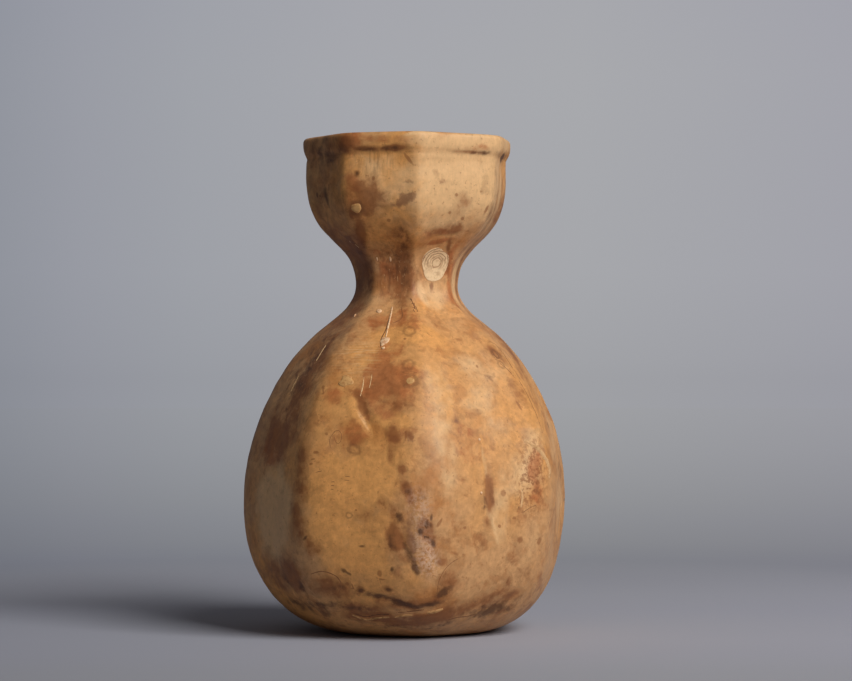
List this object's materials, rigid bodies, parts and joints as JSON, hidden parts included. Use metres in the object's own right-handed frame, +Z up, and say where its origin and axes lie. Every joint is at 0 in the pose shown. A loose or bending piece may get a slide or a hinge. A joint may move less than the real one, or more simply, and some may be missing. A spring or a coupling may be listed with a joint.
{
  "type": "gourd cup",
  "caption": "Open cup grown as a bottle gourd in a faceted mould: flat base, round belly, narrow waist, flared cup and rolled lip, with a thin wax coat inside.",
  "frame": {"origin": "middle of the footprint, on the surface that the cup stands on", "axes": "+Z up along the cup's axis, -Y is the side that the picture shows, +X to its right"},
  "size_m": [0.128, 0.129, 0.196],
  "materials": {
    "gourd": "dried gourd skin, mottled tan and brown, satin",
    "wax": "thin honey-brown wax coat, smooth, low sheen"
  },
  "bodies": {
    "root": {"gourd_shell": "gourd", "wax_lining": "wax"}
  },
  "joints": []
}
